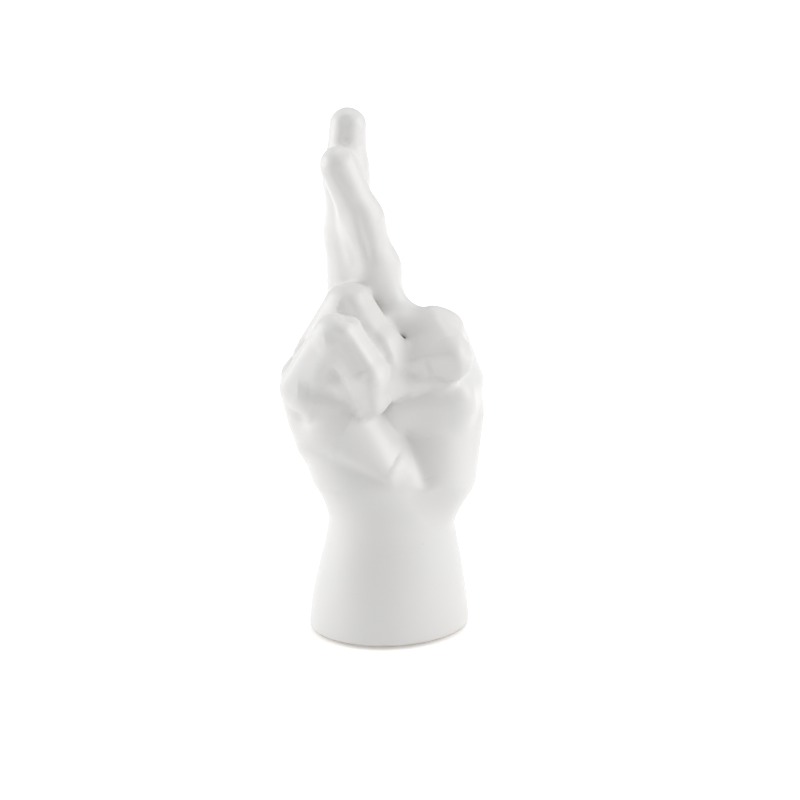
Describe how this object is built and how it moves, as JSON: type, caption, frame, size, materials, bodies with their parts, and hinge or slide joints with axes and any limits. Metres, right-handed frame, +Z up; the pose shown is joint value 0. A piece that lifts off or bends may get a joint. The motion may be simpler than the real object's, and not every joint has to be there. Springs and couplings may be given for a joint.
{
  "type": "hand sculpture",
  "caption": "Free-standing hollow ceramic hand with crossed index and middle fingers, standing on its wrist as an ornament.",
  "frame": {"origin": "on the plane the felt dots rest on, under the middle of the whole hand's box", "axes": "+Z up along the raised fingers, -Y towards the side that shows the little finger and the heel of the palm, +X towards the thumb"},
  "size_m": [0.0968, 0.082, 0.2467],
  "materials": {
    "glaze": "satin white glaze",
    "bare_clay": "unglazed fired clay",
    "felt": "pressed felt"
  },
  "bodies": {
    "root": {"wrist_and_palm": "glaze", "thumb": "glaze", "index_finger": "glaze", "middle_finger": "glaze", "ring_finger": "glaze", "little_finger": "glaze", "foot_slab": "bare_clay", "felt_dot_1": "felt", "felt_dot_2": "felt", "felt_dot_3": "felt", "felt_dot_4": "felt"}
  },
  "joints": []
}
